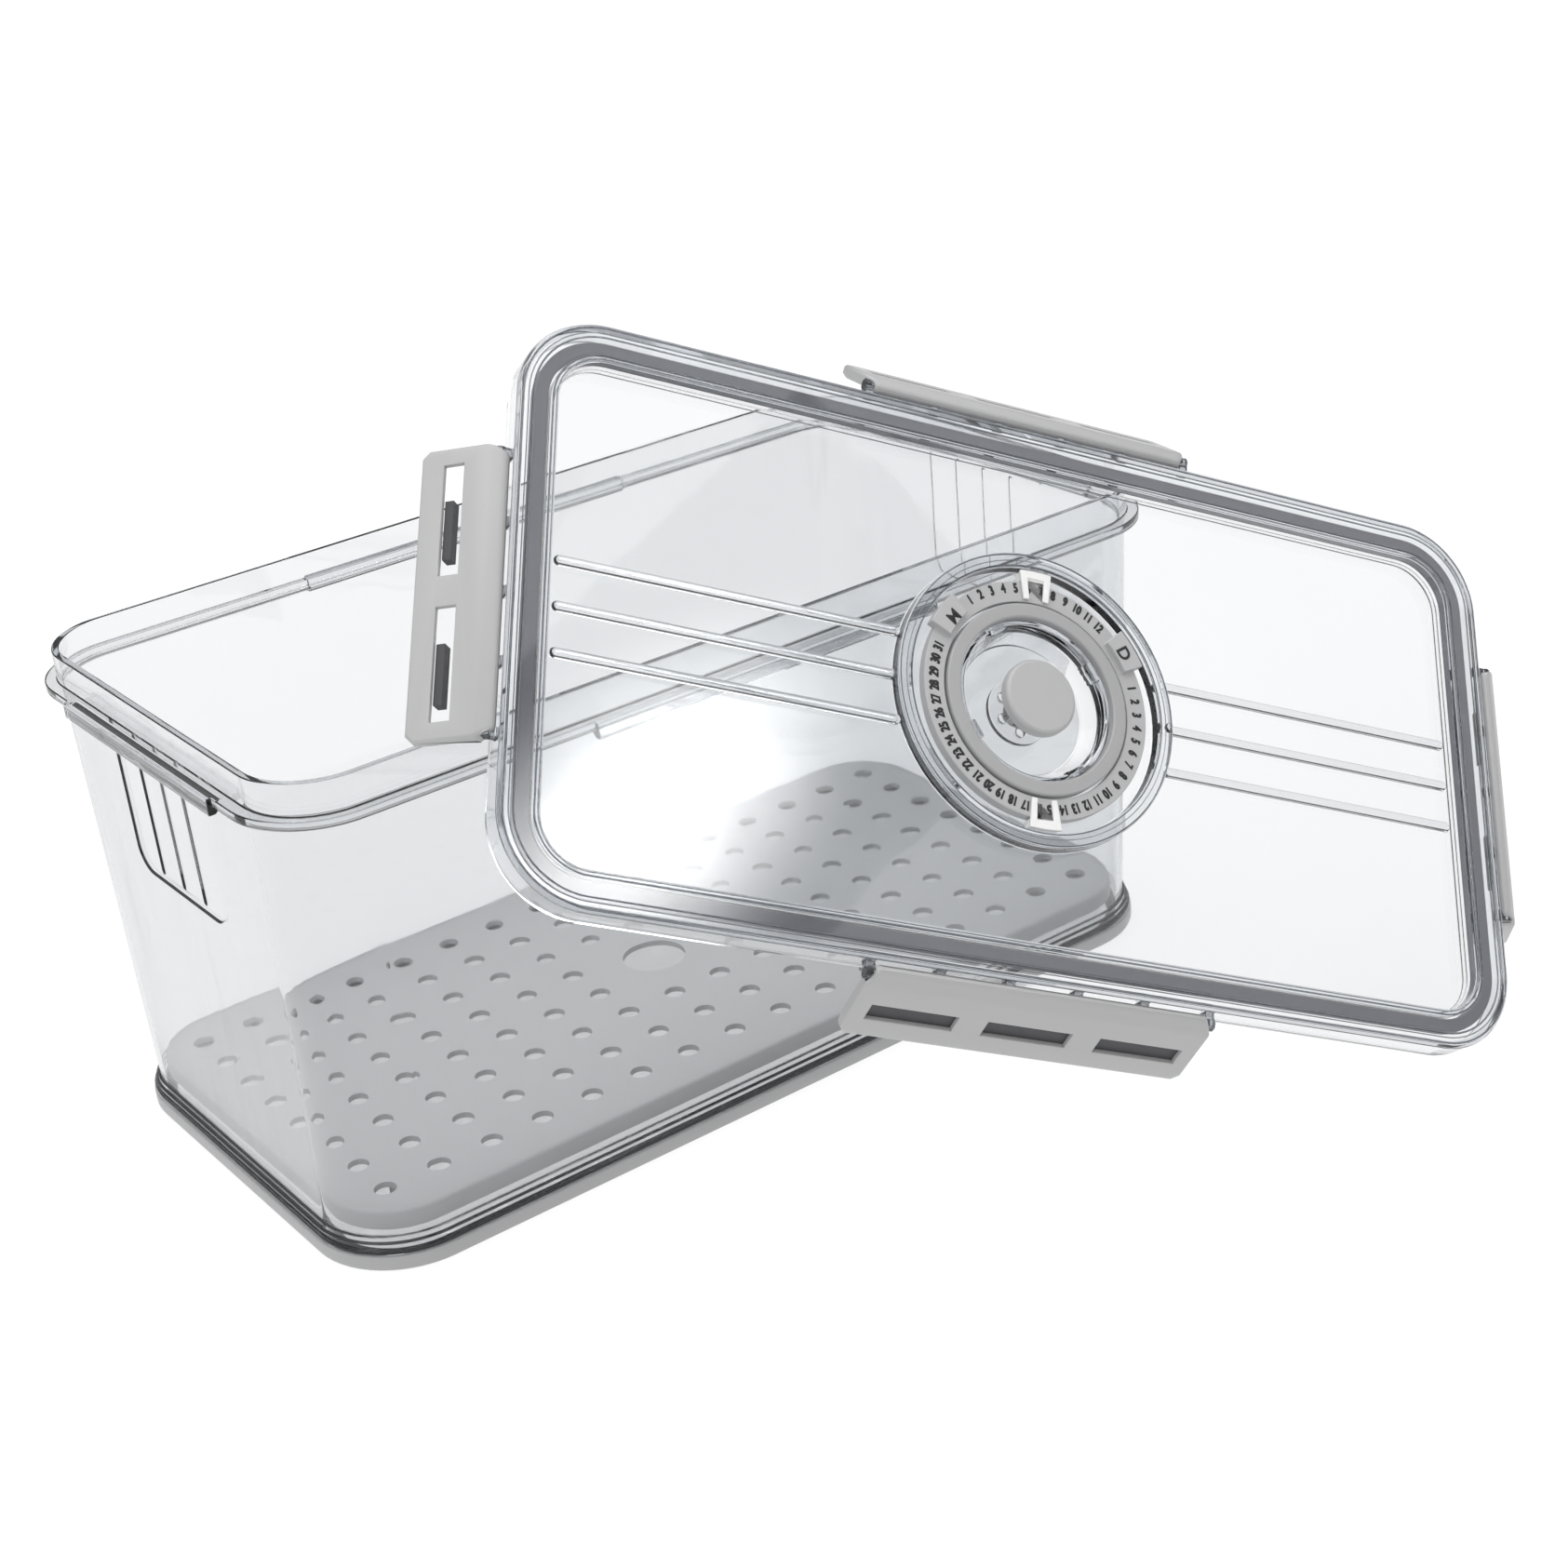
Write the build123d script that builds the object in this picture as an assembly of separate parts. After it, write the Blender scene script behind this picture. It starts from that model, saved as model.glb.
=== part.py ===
from build123d import *
import math
import os

# Airtight bread box: a clear deep box on a grey foot, with a lift-out drain tray, and a clear
# lid with a seal, four swing latches, a date dial and a press-down vent. The lid is shown taken
# off, leaning in front of the box. Millimetres, +Z up, origin at the middle of the foot's
# underside, +X along the box, -Y towards the long side that the lid leans on.

# ---- Box ----
box_height = 167.2        # table to the top of the lip
rim_length = 332.4        # over the outside of the lip
rim_width = 174.0
rim_corner = 24.0         # outer corner radius of the lip
lip_wall = 2.4            # thin upstanding lip that the seal presses on
lip_height = 10.0
flange_thickness = 3.0    # ledge round the outside of the lip
flange_reach = 4.0
wall = 2.4
wall_inset = 0.8          # wall's outer face behind the lip's, just under the flange
box_floor = 2.5
catch_reach = 1.5         # the flange stands out further where a latch hooks under it
catch_drop = 2.5
catch_spare = 4.0         # catch longer than its latch, at each end
corner_strips = 9         # flat strips in each drafted corner

# ---- Foot ----
foot_length = 331.5
foot_width = 173.2
foot_corner = 31.0
foot_height = 5.0
foot_wall = 2.0
foot_floor = 2.0
foot_edge = 1.0           # bevel of the lower edge
foot_gap = 0.3            # between the foot's ring and the box in it

# ---- Stepped edge above the foot, and the grips on the short ends ----
step_count = 3
step_height = 2.0
step_inset = 0.8          # each step stands this far behind the one below it
first_step_inset = 0.4
grip_width = 61.0
grip_height = 50.0
grip_depth = 0.7
grip_corner = 8.0
groove_count = 3
groove_pitch = 14.8
groove_width = 1.8
groove_length = 46.0
groove_depth = 0.7

# ---- Drain tray ----
tray_top = 17.3           # height of its top face
tray_thickness = 2.0
tray_skirt = 6.5          # depth of the turned-down edge, plate included
tray_skirt_wall = 1.8
tray_gap = 2.2            # between the tray and the box wall
tray_edge = 1.0           # bevel of the top edge
hole_columns = 16
hole_rows = 8
hole_pitch_x = 19.1
hole_pitch_y = 17.7
hole_diameter = 7.2
hole_sides = 8
finger_hole = 22.0
hole_margin = 2.0         # least web between the finger hole and a small hole
tray_foot_diameter = 8.0
tray_foot_columns = 7     # feet stand this many hole pitches from the middle
tray_foot_rows = 3

# ---- Lid ----
lid_overlap = 3.3         # lid's outer face outside the lip's
lid_wall = 2.4            # skirt, web over the seal and panel
frame_width = 12.4        # raised frame round the panel
skirt_depth = 10.0
panel_drop = 5.5          # panel's face below the frame's
seal_height = 4.0
seal_gap = 0.3
channel_wall = 2.0        # inner wall of the seal's channel
channel_depth = 9.0
rib_count = 3
rib_pitch = 14.2
rib_width = 3.0
rib_height = 1.0
rib_end_gap = 2.5         # round end of a rib to the frame
lid_edge = 1.0            # bevel of the frame's top edge

# ---- Hinge rails and latches ----
rail_diameter = 3.0
rail_offset = 3.4         # rail's axis outside the skirt
rail_drop = 3.2           # rail's axis below the lid's top
lug_width = 3.0
lug_radius = 2.1          # corner radius of the lug's eight-sided eye
lug_inset = 4.5           # end lug's middle to the latch's end
latch_fit = 0.05          # running clearance on the rail, radial
latch_side_gap = 0.4      # between a clip and a lug
clip_ring = 1.35          # wall of the clips that snap on the rail
clip_open_from = 5.0      # degrees, mouth of the clips, from the outer face upwards
clip_open_to = 145.0
long_latch = 122.0
short_latch = 94.0
long_lug_count = 6
short_lug_count = 5
latch_reach = 30.0        # hinge axis to the free edge
latch_face = 6.0          # outer face outside the hinge axis
latch_wall = 1.8
latch_back = 0.6          # end walls reach this far behind the axis
band_x = 3.5              # top edge of the sloping band at the hinge
band_z = 0.6
crease_at = 4.0           # crease below the axis
latch_edge = 0.8          # bevel of the free edge
edge_depth = 2.8          # the shell is shallow at its free edge
edge_step = 3.0
end_slope = 4.0           # slope of the end walls to their full depth
end_cut = 6.0             # hinge-side corners, cut along the hinge and down the end
end_cut_down = 5.0
slot_top = 13.2           # windows, measured from the hinge axis
slot_bottom = 19.8
slot_web = 11.5           # between two windows
slot_end = 6.0            # window to the latch's end
slot_wall = 1.2           # walls round a window, inside the shell
slot_wall_back = 0.2      # their back edge behind the axis
hook_gap = 0.3            # hook below the catch when closed
hook_height = 2.6
hook_reach = 2.6          # behind the axis
hook_short = 7.5          # hook shorter than its window, at each end
front_latch_open = 31.0   # degrees swung out from closed
back_latch_open = 37.0
left_latch_open = 47.0
right_latch_open = 31.0

# ---- Date dial ----
dial_radius = 47.5        # clear ring moulded on the panel
dial_ring_wall = 4.6
dial_ring_top = 1.0       # below the lid's top
scale_outer = 38.5
scale_inner = 31.7
scale_top = 2.2           # below the lid's top
bezel_outer = 31.0
bezel_inner = 26.4
bezel_top = 1.2
bezel_edge = 0.4
pad_inner = 33.6
pad_outer = 40.8
pad_half_angle = 9.0      # degrees
pad_height = 2.0          # above the scale
pad_root = 1.5            # into the scale
month_pad_at = 145.2      # degrees from the lid's +X
day_pad_at = 34.3
pointer_fit = 0.1
pointer_thickness = 1.1
pointer_inner = 32.5
pointer_outer = 42.0
pointer_half_angle = 7.4
window_half_angle = 4.3
pointer_bridge = 2.6      # closed end of the U
guide_gap = 0.3           # guide in the gap beside the scale
month_pointer_at = 90.0
day_pointer_at = -88.0

# ---- Vent ----
cup_radius = 27.2         # outside of the cup where it passes the panel
cup_gap = 0.3             # cup to the panel's hole and to the bezel
cup_rim_wall = 1.4
cup_base = 21.0           # radius of the cup's flat floor
cup_wall = 2.2
cup_rim_top = 3.0         # below the lid's top
cup_depth = 9.0           # rim to the cup's inner floor
cup_floor = 1.8
cup_flange = 3.0          # flange under the panel
clip_at = 32.6            # degrees, first of the clips on the cup's rim
clip_count = 4
clip_width = 6.0
clip_height = 3.0
clip_stand = 0.6          # above the rim
clip_wall = 1.2
vent_hole = 3.2
vent_hole_count = 6
vent_hole_ring = 7.0      # radius on which the vent holes lie
knob_radius = 12.1
knob_top = 1.0            # above the lid's top
knob_height = 4.0
knob_edge = 1.4
stem_diameter = 6.0
stem_fit = 0.06
leg_count = 4
leg_width = 2.0
leg_radius = 9.6
vent_travel = 3.0
leg_gap = 0.3             # leg above the floor when pressed down
plug_radius = 10.5
plug_thickness = 1.8
plug_gap = 0.3
plug_fit = 0.1            # plug on the stem
stem_head = 1.0
stem_head_wall = 1.5

# ---- Where the lid stands: it leans by the long side of the box ----
lid_along = 52.0
lid_out = 65.0            # lid's middle in front of the flange
lid_down = 21.2           # lid's middle below the top of the lip
lid_x_dir = (0.8693, -0.2953, -0.3963)
lid_z_dir = (0.0126, -0.7884, 0.6150)

# Worked out from the sizes above
rim_x, rim_y = rim_length / 2, rim_width / 2
foot_x, foot_y = foot_length / 2, foot_width / 2
flange_top = box_height - lip_height
flange_under = flange_top - flange_thickness
step_base = foot_height + foot_gap
wall_base = step_base + step_count * step_height
wall_base_inset = first_step_inset + step_count * step_inset
lid_x, lid_y = rim_x + lid_overlap, rim_y + lid_overlap
lid_corner = rim_corner + lid_overlap
panel_x, panel_y = lid_x - frame_width, lid_y - frame_width
panel_corner = lid_corner - frame_width
panel_under = panel_drop + lid_wall
hook_at = lid_wall + seal_gap + seal_height + lip_height + flange_thickness + catch_drop \
    + hook_gap - rail_drop
latches = {
    "front": (-90, lid_y, long_latch, long_lug_count, 3, front_latch_open),
    "back": (90, lid_y, long_latch, long_lug_count, 3, back_latch_open),
    "left": (180, lid_x, short_latch, short_lug_count, 2, left_latch_open),
    "right": (0, lid_x, short_latch, short_lug_count, 2, right_latch_open),
}


def outline(half_x, half_y, corner, z):
    """Rounded rectangle at a height."""
    return Pos(0, 0, z) * RectangleRounded(2 * half_x, 2 * half_y, corner)


def slab(half_x, half_y, corner, low, high):
    return extrude(outline(half_x, half_y, corner, low), amount=high - low)


def ring(outer, inner, low, high):
    """Round ring about Z."""
    return Pos(0, 0, low) * extrude(Circle(outer) - Circle(inner), amount=high - low)


def bar(x0, x1, y0, y1, z0, z1):
    """Box from its limits."""
    return Pos((x0 + x1) / 2, (y0 + y1) / 2, (z0 + z1) / 2) * Box(x1 - x0, y1 - y0, z1 - z0)


def turned(points):
    """Solid of revolution about Z from (radius, z) points."""
    return revolve(Plane.XZ * make_face(Polyline(*points, close=True)), Axis.Z)


def tub(low, high):
    """Drafted solid between two rounded rectangles of (half_x, half_y, corner, z)."""
    loops = []
    for half_x, half_y, corner, z in (low, high):
        points = []
        for quarter, (sx, sy) in enumerate(((1, 1), (-1, 1), (-1, -1), (1, -1))):
            for i in range(corner_strips + 1):
                at = math.radians(90 * (quarter + i / corner_strips))
                points.append((sx * (half_x - corner) + corner * math.cos(at),
                               sy * (half_y - corner) + corner * math.sin(at), z))
        loops.append(points)
    base, top = loops
    faces = [Face(Wire.make_polygon(base)), Face(Wire.make_polygon(top))]
    for i in range(len(base)):
        j = (i + 1) % len(base)
        faces.append(Face(Wire.make_polygon([base[i], base[j], top[j], top[i]])))
    return Solid(Shell(faces))


def catch(side):
    """Stretch of the flange that a latch hooks under, on the +X side and turned to its own."""
    angle, half_lid, length, _, _, _ = latches[side]
    half = half_lid - lid_overlap
    low, outer = flange_under - catch_drop, half + flange_reach + catch_reach
    profile = Polyline((half + 1.0, flange_top), (outer, flange_top), (outer, low),
                       (outer - 2.4, low), (half + 1.0, flange_under), close=True)
    face = Plane.XZ * make_face(profile)
    return Rot(0, 0, angle) * extrude(face, amount=length / 2 + catch_spare, both=True)


def grip(side):
    """Shallow recess with upright grooves, sunk into one short end along the drafted wall."""
    top_x = rim_x - wall_inset
    base_x = foot_x - wall_base_inset
    draft = math.degrees(math.atan2(top_x - base_x, flange_under - wall_base))
    recess = Box(2 * grip_depth, grip_width, grip_height, align=(Align.CENTER, Align.CENTER, Align.MAX))
    recess = fillet(recess.edges().filter_by(Axis.X).group_by(Axis.Z)[0], grip_corner)
    for i in range(groove_count):
        y = (i - (groove_count - 1) / 2) * groove_pitch
        groove = extrude(Plane.YZ * SlotOverall(groove_length, groove_width, rotation=90),
                         amount=grip_depth + groove_depth, both=True)
        recess += Pos(0, y, -groove_length / 2 - 1.5) * groove
    recess = Pos(top_x, 0, flange_under) * Rot(0, draft, 0) * recess
    return Rot(0, 0, 0 if side > 0 else 180) * recess


def box_body():
    top_in = wall_inset + wall
    outer = tub((foot_x - wall_base_inset, foot_y - wall_base_inset, foot_corner - wall_base_inset,
                 wall_base),
                (rim_x - wall_inset, rim_y - wall_inset, rim_corner - wall_inset, flange_top))
    plug = foot_wall + foot_gap
    body = outer + slab(foot_x - plug, foot_y - plug, foot_corner - plug, foot_floor, wall_base)
    for i in range(step_count):
        inset = first_step_inset + i * step_inset
        low = step_base + i * step_height
        body += slab(foot_x - inset, foot_y - inset, foot_corner - inset, low, low + step_height)
    body += slab(rim_x + flange_reach, rim_y + flange_reach, rim_corner + flange_reach,
                 flange_under, flange_top)
    body += slab(rim_x, rim_y, rim_corner, flange_under, box_height)
    for side in latches:
        body += catch(side)
    low_in = wall_base_inset + wall
    inner_floor = foot_floor + box_floor
    body -= tub((foot_x - low_in, foot_y - low_in, foot_corner - low_in, inner_floor),
                (rim_x - top_in, rim_y - top_in, rim_corner - top_in, flange_top))
    body -= slab(rim_x - lip_wall, rim_y - lip_wall, rim_corner - lip_wall,
                 flange_top - 1.0, box_height + 1.0)
    for side in (-1, 1):
        body -= grip(side)
    return body


def base_foot():
    foot = slab(foot_x, foot_y, foot_corner, 0, foot_height)
    foot = chamfer(foot.edges().group_by(Axis.Z)[0], foot_edge)
    return foot - slab(foot_x - foot_wall, foot_y - foot_wall, foot_corner - foot_wall,
                       foot_floor, foot_height + 1.0)


def tray_hole_places():
    """Grid of small holes, left out round the finger hole."""
    places = []
    for i in range(hole_columns):
        for j in range(hole_rows):
            x = (i - (hole_columns - 1) / 2) * hole_pitch_x
            y = (j - (hole_rows - 1) / 2) * hole_pitch_y
            if math.hypot(x, y) > (finger_hole + hole_diameter) / 2 + hole_margin:
                places.append((x, y))
    return places


def drain_tray():
    low_in = wall_base_inset + wall + tray_gap
    hx, hy, corner = foot_x - low_in, foot_y - low_in, foot_corner - low_in
    tray = slab(hx, hy, corner, tray_top - tray_skirt, tray_top)
    tray = chamfer(tray.edges().group_by(Axis.Z)[-1], tray_edge)
    tray -= slab(hx - tray_skirt_wall, hy - tray_skirt_wall, corner - tray_skirt_wall,
                 tray_top - tray_skirt - 1.0, tray_top - tray_thickness)
    foot_top = foot_floor + box_floor
    for i in (-1, 1):
        for j in (-1, 1):
            x, y = i * tray_foot_columns * hole_pitch_x, j * tray_foot_rows * hole_pitch_y
            leg = Cylinder(tray_foot_diameter / 2, tray_top - tray_thickness / 2 - foot_top,
                           align=(Align.CENTER, Align.CENTER, Align.MIN))
            tray += Pos(x, y, foot_top) * leg
    holes = [Pos(x, y) * RegularPolygon(hole_diameter / 2, hole_sides) for x, y in tray_hole_places()]
    cut = Sketch() + holes + Circle(finger_hole / 2)
    return tray - Pos(0, 0, tray_top - tray_thickness - 1.0) * extrude(cut, amount=tray_thickness + 2.0)


def lug_places(length, lugs):
    """Middles of the lugs along a rail."""
    run = length - 2 * lug_inset
    return [-run / 2 + i * run / (lugs - 1) for i in range(lugs)]


def rail(side):
    """Rod held by lugs along one side of the lid, made on +X and turned."""
    angle, half, length, lugs, _, _ = latches[side]
    axis_x = half + rail_offset
    along = length - 2 * lug_inset + lug_width
    rod = Pos(axis_x, 0, -rail_drop) * Rot(90, 0, 0) * Cylinder(rail_diameter / 2, along)
    for y in lug_places(length, lugs):
        rod += bar(half - lid_wall / 2, axis_x, y - lug_width / 2, y + lug_width / 2,
                   -rail_drop - rail_diameter / 2, -rail_drop + rail_diameter / 2)
        eye = extrude(Plane.XZ * RegularPolygon(lug_radius, 8), amount=lug_width / 2, both=True)
        rod += Pos(axis_x, y, -rail_drop) * eye
    return Rot(0, 0, angle) * rod


def lid_panel():
    """Clear lid about its own middle, its frame's top face at z = 0."""
    lid = slab(lid_x, lid_y, lid_corner, -skirt_depth, 0)
    lid = chamfer(lid.edges().group_by(Axis.Z)[-1], lid_edge)
    inner = lid_wall
    lid -= slab(lid_x - inner, lid_y - inner, lid_corner - inner, -skirt_depth - 1.0, -lid_wall)
    lid -= slab(panel_x, panel_y, panel_corner, -lid_wall - 1.0, 1.0)
    rim = slab(panel_x + channel_wall, panel_y + channel_wall, panel_corner + channel_wall,
               -channel_depth, -lid_wall / 2)
    lid += rim - slab(panel_x, panel_y, panel_corner, -channel_depth - 1.0, 1.0)
    lid += slab(panel_x + channel_wall / 2, panel_y + channel_wall / 2,
                panel_corner + channel_wall / 2, -panel_under, -panel_drop)
    for j in range(rib_count):
        y = (j - (rib_count - 1) / 2) * rib_pitch
        x0, x1 = dial_radius - dial_ring_wall / 2, panel_x - rib_end_gap
        rib = Pos((x0 + x1) / 2, y, -panel_drop - lid_wall / 2) * extrude(
            SlotOverall(x1 - x0, rib_width), amount=lid_wall / 2 + rib_height)
        lid += rib
        lid += Rot(0, 0, 180) * rib
    bore = dial_radius - dial_ring_wall
    lid += ring(dial_radius, bore, -panel_under, -dial_ring_top)
    lid -= Pos(0, 0, -panel_under) * Cylinder(cup_radius + cup_gap, 4 * lid_wall)
    for side in latches:
        lid += rail(side)
    return lid


def lid_seal():
    """Soft ring in the channel, with a groove that the lip presses into."""
    out, inn = lid_wall + seal_gap, frame_width - channel_wall - seal_gap
    high = -lid_wall
    low = high - seal_height
    seal = slab(lid_x - out, lid_y - out, lid_corner - out, low, high)
    seal -= slab(lid_x - inn, lid_y - inn, lid_corner - inn, low - 1.0, high + 1.0)
    return seal


def latch(side):
    """Latch about its hinge axis: a shell, its outer face towards X when it hangs closed."""
    _, _, length, lugs, windows, _ = latches[side]
    bore = rail_diameter / 2 + latch_fit
    clip = bore + clip_ring
    face, wall_x, back, reach = latch_face, latch_face - latch_wall, -latch_back, latch_reach

    def across(points, width):
        return extrude(Plane.XZ * make_face(Polyline(*points, close=True)), amount=width / 2, both=True)

    body = across([(band_x, band_z), (face, -crease_at), (face, -reach + latch_edge),
                   (face - latch_edge, -reach), (face - edge_depth, -reach),
                   (face - edge_depth, -reach + edge_step), (back, -reach + edge_step + end_slope),
                   (back, -clip), (bore, band_z)], length)
    body -= across([(band_x - latch_wall, band_z), (wall_x, -crease_at - latch_wall / 3),
                    (wall_x, -reach + latch_wall), (back - 1, -reach + latch_wall),
                    (back - 1, band_z + 1), (band_x - latch_wall, band_z + 1)],
                   length - 2 * latch_wall)
    room = length - 2 * slot_end
    window = (room - (windows - 1) * slot_web) / windows
    middles = [-room / 2 + window / 2 + i * (window + slot_web) for i in range(windows)]
    for y in middles:
        half = window / 2 + slot_wall
        body += bar(-slot_wall_back, wall_x + latch_wall / 2, y - half, y + half,
                    -slot_bottom - slot_wall, -slot_top + slot_wall)
    for y in middles:
        body -= bar(-5 * clip, 5 * clip, y - window / 2, y + window / 2, -slot_bottom, -slot_top)
        half = window / 2 - hook_short
        body += bar(-hook_reach, slot_wall, y - half, y + half, -hook_at - hook_height, -hook_at)
    for s in (-1, 1):
        end = s * length / 2
        body -= extrude(Plane.YZ * make_face(Polyline(
            (end - s * end_cut, band_z), (end, band_z - end_cut_down), (end + s, band_z - end_cut_down),
            (end + s, band_z + 2 * clip), (end - s * end_cut, band_z + 2 * clip), close=True)),
            amount=5 * clip, both=True)
    notch = lug_width / 2 + latch_side_gap
    places = lug_places(length, lugs)
    for y in places:
        body -= Pos(0, y, 0) * Rot(90, 0, 0) * Cylinder(lug_radius + latch_side_gap, 2 * notch)
    mouth = [(0, 0)] + [(3 * clip * math.cos(math.radians(t)), 3 * clip * math.sin(math.radians(t)))
                        for t in (clip_open_from, (clip_open_from + clip_open_to) / 2, clip_open_to)]
    for y0, y1 in zip(places, places[1:]):
        width = y1 - y0 - 2 * notch
        hold = Rot(90, 0, 0) * Cylinder(clip, width) - across(mouth, width + 1)
        body += Pos(0, (y0 + y1) / 2, 0) * hold
    return body - Rot(90, 0, 0) * Cylinder(bore, length + 1.0)


def place_latch(side, solid):
    angle, half, _, _, _, opened = latches[side]
    return Rot(0, 0, angle) * Pos(half + rail_offset, 0, -rail_drop) * Rot(0, -opened, 0) * solid


def sector(inner, outer, at, half, low, high):
    """Piece of a round ring about an angle."""
    a = [math.radians(at + k) for k in (-half, 0, half)]
    arc_out = ThreePointArc(*[(outer * math.cos(t), outer * math.sin(t)) for t in a])
    arc_in = ThreePointArc(*[(inner * math.cos(t), inner * math.sin(t)) for t in a])
    sides = [Line(arc_out @ 0, arc_in @ 0), Line(arc_out @ 1, arc_in @ 1)]
    return Pos(0, 0, low) * extrude(make_face([arc_out, arc_in] + sides), amount=high - low)


def dial_scale():
    scale = ring(scale_outer, scale_inner, -panel_drop, -scale_top)
    for at in (month_pad_at, day_pad_at):
        scale += sector(pad_inner, pad_outer, at, pad_half_angle,
                        -scale_top - pad_root, -scale_top + pad_height)
    return scale


def dial_bezel():
    out, inn, high = bezel_outer, bezel_inner, -bezel_top
    return turned([(inn, -panel_drop), (out, -panel_drop), (out, high - bezel_edge),
                   (out - bezel_edge, high), (inn + bezel_edge, high), (inn, high - bezel_edge)])


def pointer(at):
    """U that frames one number, with a guide that runs in the gap outside the scale."""
    low = -scale_top + pointer_fit
    high = low + pointer_thickness
    plate = sector(pointer_inner, pointer_outer, at, pointer_half_angle, low, high)
    plate -= sector(pointer_inner - 1, pointer_outer - pointer_bridge, at, window_half_angle,
                    low - 1, high + 1)
    return plate + sector(scale_outer + guide_gap, pointer_outer - guide_gap, at,
                          pointer_half_angle - 0.3, -panel_drop + pointer_fit, low + pointer_thickness / 2)


def vent_cup():
    r, low, under = cup_radius, -cup_rim_top - cup_depth, -panel_under - lid_wall
    rim = bezel_inner - cup_gap
    cup = turned([(0, low - cup_floor), (cup_base + cup_wall, low - cup_floor), (r, under),
                  (r + cup_flange, under), (r + cup_flange, -panel_under), (r, -panel_under),
                  (r, -panel_drop), (rim, -panel_drop), (rim, -cup_rim_top),
                  (rim - cup_rim_wall, -cup_rim_top), (cup_base, low), (0, low)])
    for i in range(clip_count):
        clip = bar(rim - cup_rim_wall - clip_wall, rim - cup_rim_wall + 0.3,
                   -clip_width / 2, clip_width / 2, -cup_rim_top - clip_height, -cup_rim_top + clip_stand)
        cup += Rot(0, 0, clip_at + i * 360 / clip_count) * clip
    for i in range(vent_hole_count):
        at = math.radians((i + 0.5) * 360 / vent_hole_count)
        hole = extrude(RegularPolygon(vent_hole / 2, 8), amount=2 * cup_floor, both=True)
        cup -= Pos(vent_hole_ring * math.cos(at), vent_hole_ring * math.sin(at), low) * hole
    return cup - Pos(0, 0, low) * Cylinder(stem_diameter / 2 + stem_fit, 3 * cup_floor)


def vent_knob():
    """Press cap on a stem that goes through the cup's floor, with four legs as a stop."""
    floor_top = -cup_rim_top - cup_depth
    cap_low, r, stem = knob_top - knob_height, knob_radius, stem_diameter / 2
    head_top = floor_top - cup_floor - plug_gap - plug_thickness
    head = stem + stem_head_wall
    knob = turned([(0, knob_top), (r - knob_edge, knob_top), (r - knob_edge / 3, knob_top - knob_edge / 3),
                   (r, knob_top - knob_edge), (r, cap_low), (stem, cap_low), (stem, head_top),
                   (head, head_top), (head, head_top - stem_head), (0, head_top - stem_head)])
    for i in range(leg_count):
        leg = bar(leg_radius - 2 * leg_width, leg_radius, -leg_width / 2, leg_width / 2,
                  floor_top + vent_travel + leg_gap, cap_low + knob_height / 2)
        knob += Rot(0, 0, 45 + i * 360 / leg_count) * leg
    return knob


def vent_plug():
    high = -cup_rim_top - cup_depth - cup_floor - plug_gap
    return ring(plug_radius, stem_diameter / 2 + plug_fit, high - plug_thickness, high)


lid_at = Plane(
    origin=(lid_along, -(rim_y + flange_reach) - lid_out, box_height - lid_down),
    x_dir=lid_x_dir, z_dir=lid_z_dir).location

parts = {
    "box_body": box_body(),
    "base_foot": base_foot(),
    "drain_tray": drain_tray(),
    "lid_panel": lid_at * lid_panel(),
    "lid_seal": lid_at * lid_seal(),
    "dial_scale": lid_at * dial_scale(),
    "dial_bezel": lid_at * dial_bezel(),
    "month_pointer": lid_at * pointer(month_pointer_at),
    "day_pointer": lid_at * pointer(day_pointer_at),
    "vent_cup": lid_at * vent_cup(),
    "vent_knob": lid_at * vent_knob(),
    "vent_plug": lid_at * vent_plug(),
}
for side in latches:
    parts["latch_" + side] = lid_at * place_latch(side, latch(side))

os.makedirs("parts", exist_ok=True)
for name, solid in parts.items():
    export_step(solid, "parts/" + name + ".step")
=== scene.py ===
import math
import bmesh
import bpy
from mathutils import Matrix, Vector


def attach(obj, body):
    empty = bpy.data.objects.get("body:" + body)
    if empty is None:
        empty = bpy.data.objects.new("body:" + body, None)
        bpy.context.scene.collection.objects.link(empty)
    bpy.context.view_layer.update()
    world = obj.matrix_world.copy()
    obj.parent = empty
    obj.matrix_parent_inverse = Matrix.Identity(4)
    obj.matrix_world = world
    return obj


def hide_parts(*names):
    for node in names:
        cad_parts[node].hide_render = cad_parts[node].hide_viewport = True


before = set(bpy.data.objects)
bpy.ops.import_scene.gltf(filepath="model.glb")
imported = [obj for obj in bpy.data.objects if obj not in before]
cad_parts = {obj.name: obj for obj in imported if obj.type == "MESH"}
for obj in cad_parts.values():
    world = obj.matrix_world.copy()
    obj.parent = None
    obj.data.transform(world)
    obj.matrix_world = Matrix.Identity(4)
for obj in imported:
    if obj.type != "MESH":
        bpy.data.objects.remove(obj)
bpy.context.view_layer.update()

# ---- Studio: camera, floor and light ----
# The camera stands where the photograph was taken from. The floor and the room are white, with
# a darker belt low down that draws the dark lines in the clear edges, and a card with a soft
# round glow stands where the leaning lid mirrors it.
studio = bpy.context.scene
studio.view_settings.view_transform = "Standard"


def set_out(name, data):
    """Object with this mesh, camera or lamp, put in the scene."""
    made = bpy.data.objects.new(name, data)
    studio.collection.objects.link(made)
    return made


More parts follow.
